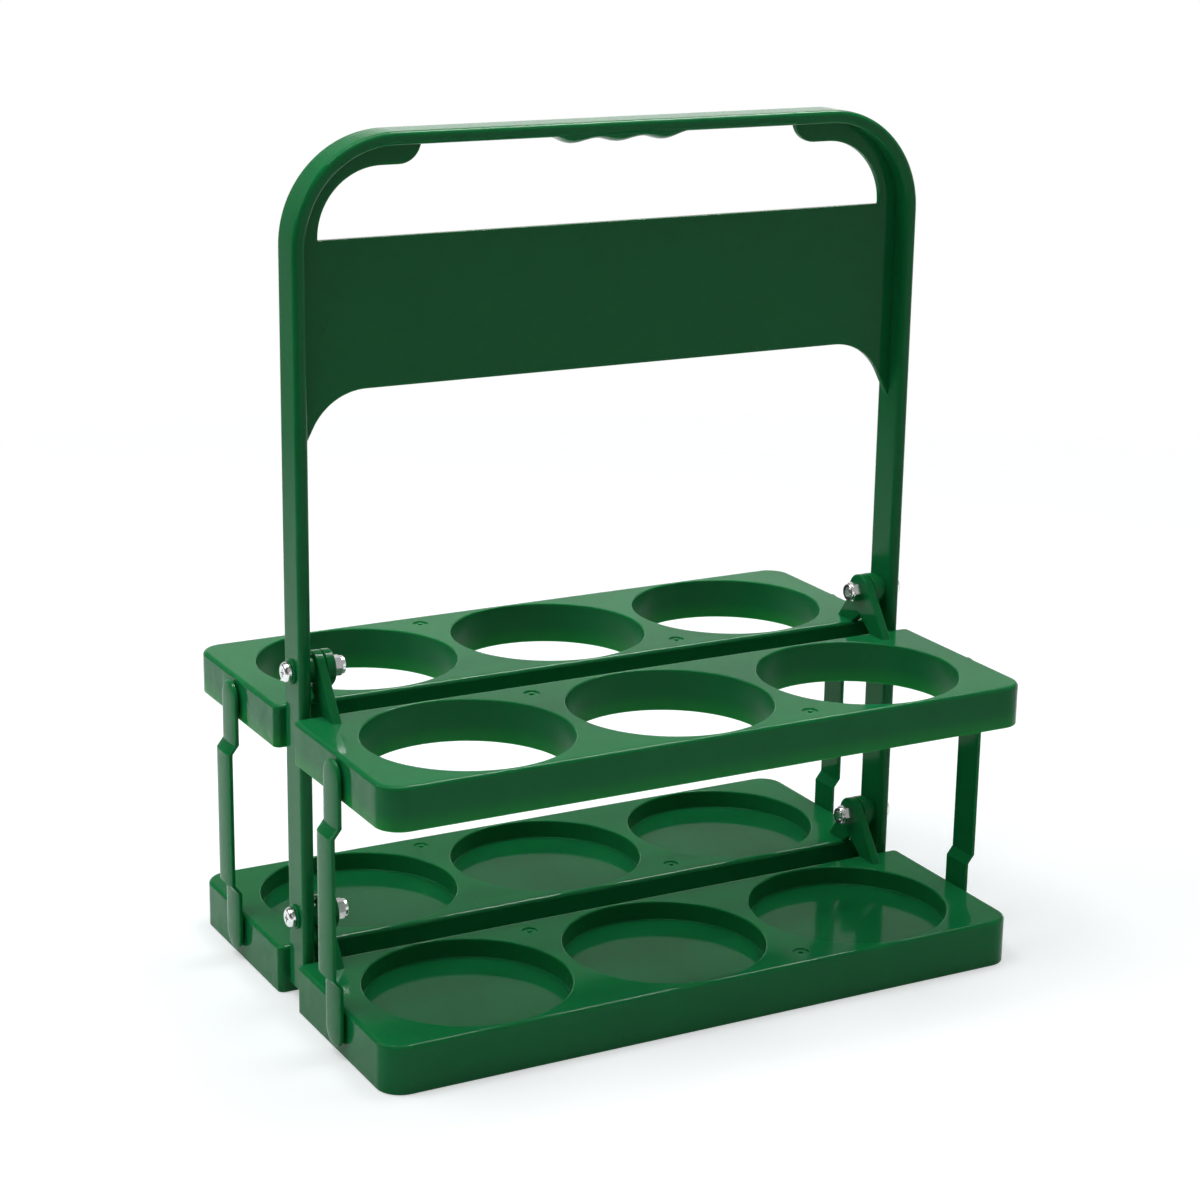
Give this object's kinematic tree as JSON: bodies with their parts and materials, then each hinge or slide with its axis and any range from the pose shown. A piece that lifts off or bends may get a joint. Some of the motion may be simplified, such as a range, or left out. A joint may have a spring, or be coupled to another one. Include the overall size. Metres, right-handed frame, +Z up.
{
  "type": "foldable drink carrier",
  "caption": "Foldable drink carrier: upper trays with round holes and lower trays with round recesses hinge up against a tall carrying frame with a handle.",
  "frame": {"origin": "centre of the footprint, on the surface that the lower trays stand on", "axes": "+X along the trays, +Y to the back, +Z up towards the handle"},
  "size_m": [0.3238, 0.21, 0.3754],
  "materials": {
    "green_plastic": "glossy moulded",
    "zinc_plated_steel": "zinc plated",
    "dark_nylon": "satin"
  },
  "bodies": {
    "frame": {"handle_frame": "green_plastic", "screw_upper_left": "zinc_plated_steel", "screw_upper_right": "zinc_plated_steel", "screw_lower_left": "zinc_plated_steel", "screw_lower_right": "zinc_plated_steel", "nut_upper_left": "zinc_plated_steel", "nut_upper_right": "zinc_plated_steel", "nut_lower_left": "zinc_plated_steel", "nut_lower_right": "zinc_plated_steel", "nylon_ring_upper_left": "dark_nylon", "nylon_ring_upper_right": "dark_nylon", "nylon_ring_lower_left": "dark_nylon", "nylon_ring_lower_right": "dark_nylon"},
    "upper_front": {"upper_front_tray": "green_plastic"},
    "upper_rear": {"upper_rear_tray": "green_plastic"},
    "lower_front": {"lower_front_tray": "green_plastic"},
    "lower_rear": {"lower_rear_tray": "green_plastic"},
    "front_left_link": {"link_front_left": "green_plastic"},
    "front_right_link": {"link_front_right": "green_plastic"},
    "rear_left_link": {"link_rear_left": "green_plastic"},
    "rear_right_link": {"link_rear_right": "green_plastic"}
  },
  "joints": [
    {"name": "upper_front_fold", "type": "hinge", "parent": "frame", "child": "upper_front", "pos_m": [0, 0, 0.1506], "axis": [-1, 0, 0], "range_deg": [0, 90]},
    {"name": "upper_rear_fold", "type": "hinge", "parent": "frame", "child": "upper_rear", "pos_m": [0, 0, 0.1506], "axis": [1, 0, 0], "range_deg": [0, 90]},
    {"name": "lower_front_fold", "type": "hinge", "parent": "frame", "child": "lower_front", "pos_m": [0, 0, 0.0394], "axis": [-1, 0, 0], "range_deg": [0, 90]},
    {"name": "lower_rear_fold", "type": "hinge", "parent": "frame", "child": "lower_rear", "pos_m": [0, 0, 0.0394], "axis": [1, 0, 0], "range_deg": [0, 90]},
    {"name": "front_left_link_pivot", "type": "hinge", "parent": "upper_front", "child": "front_left_link", "pos_m": [-0.155, -0.057, 0.1232], "axis": [1, 0, 0], "range_deg": [0, 90]},
    {"name": "front_right_link_pivot", "type": "hinge", "parent": "upper_front", "child": "front_right_link", "pos_m": [0.155, -0.057, 0.1232], "axis": [1, 0, 0], "range_deg": [0, 90]},
    {"name": "rear_left_link_pivot", "type": "hinge", "parent": "upper_rear", "child": "rear_left_link", "pos_m": [-0.155, 0.057, 0.1232], "axis": [-1, 0, 0], "range_deg": [0, 90]},
    {"name": "rear_right_link_pivot", "type": "hinge", "parent": "upper_rear", "child": "rear_right_link", "pos_m": [0.155, 0.057, 0.1232], "axis": [-1, 0, 0], "range_deg": [0, 90]}
  ],
  "couplings": [
    {"joint": "lower_front_fold", "follows": "upper_front_fold", "ratio": 1},
    {"joint": "front_left_link_pivot", "follows": "upper_front_fold", "ratio": 1},
    {"joint": "front_right_link_pivot", "follows": "upper_front_fold", "ratio": 1},
    {"joint": "lower_rear_fold", "follows": "upper_rear_fold", "ratio": 1},
    {"joint": "rear_left_link_pivot", "follows": "upper_rear_fold", "ratio": 1},
    {"joint": "rear_right_link_pivot", "follows": "upper_rear_fold", "ratio": 1}
  ]
}
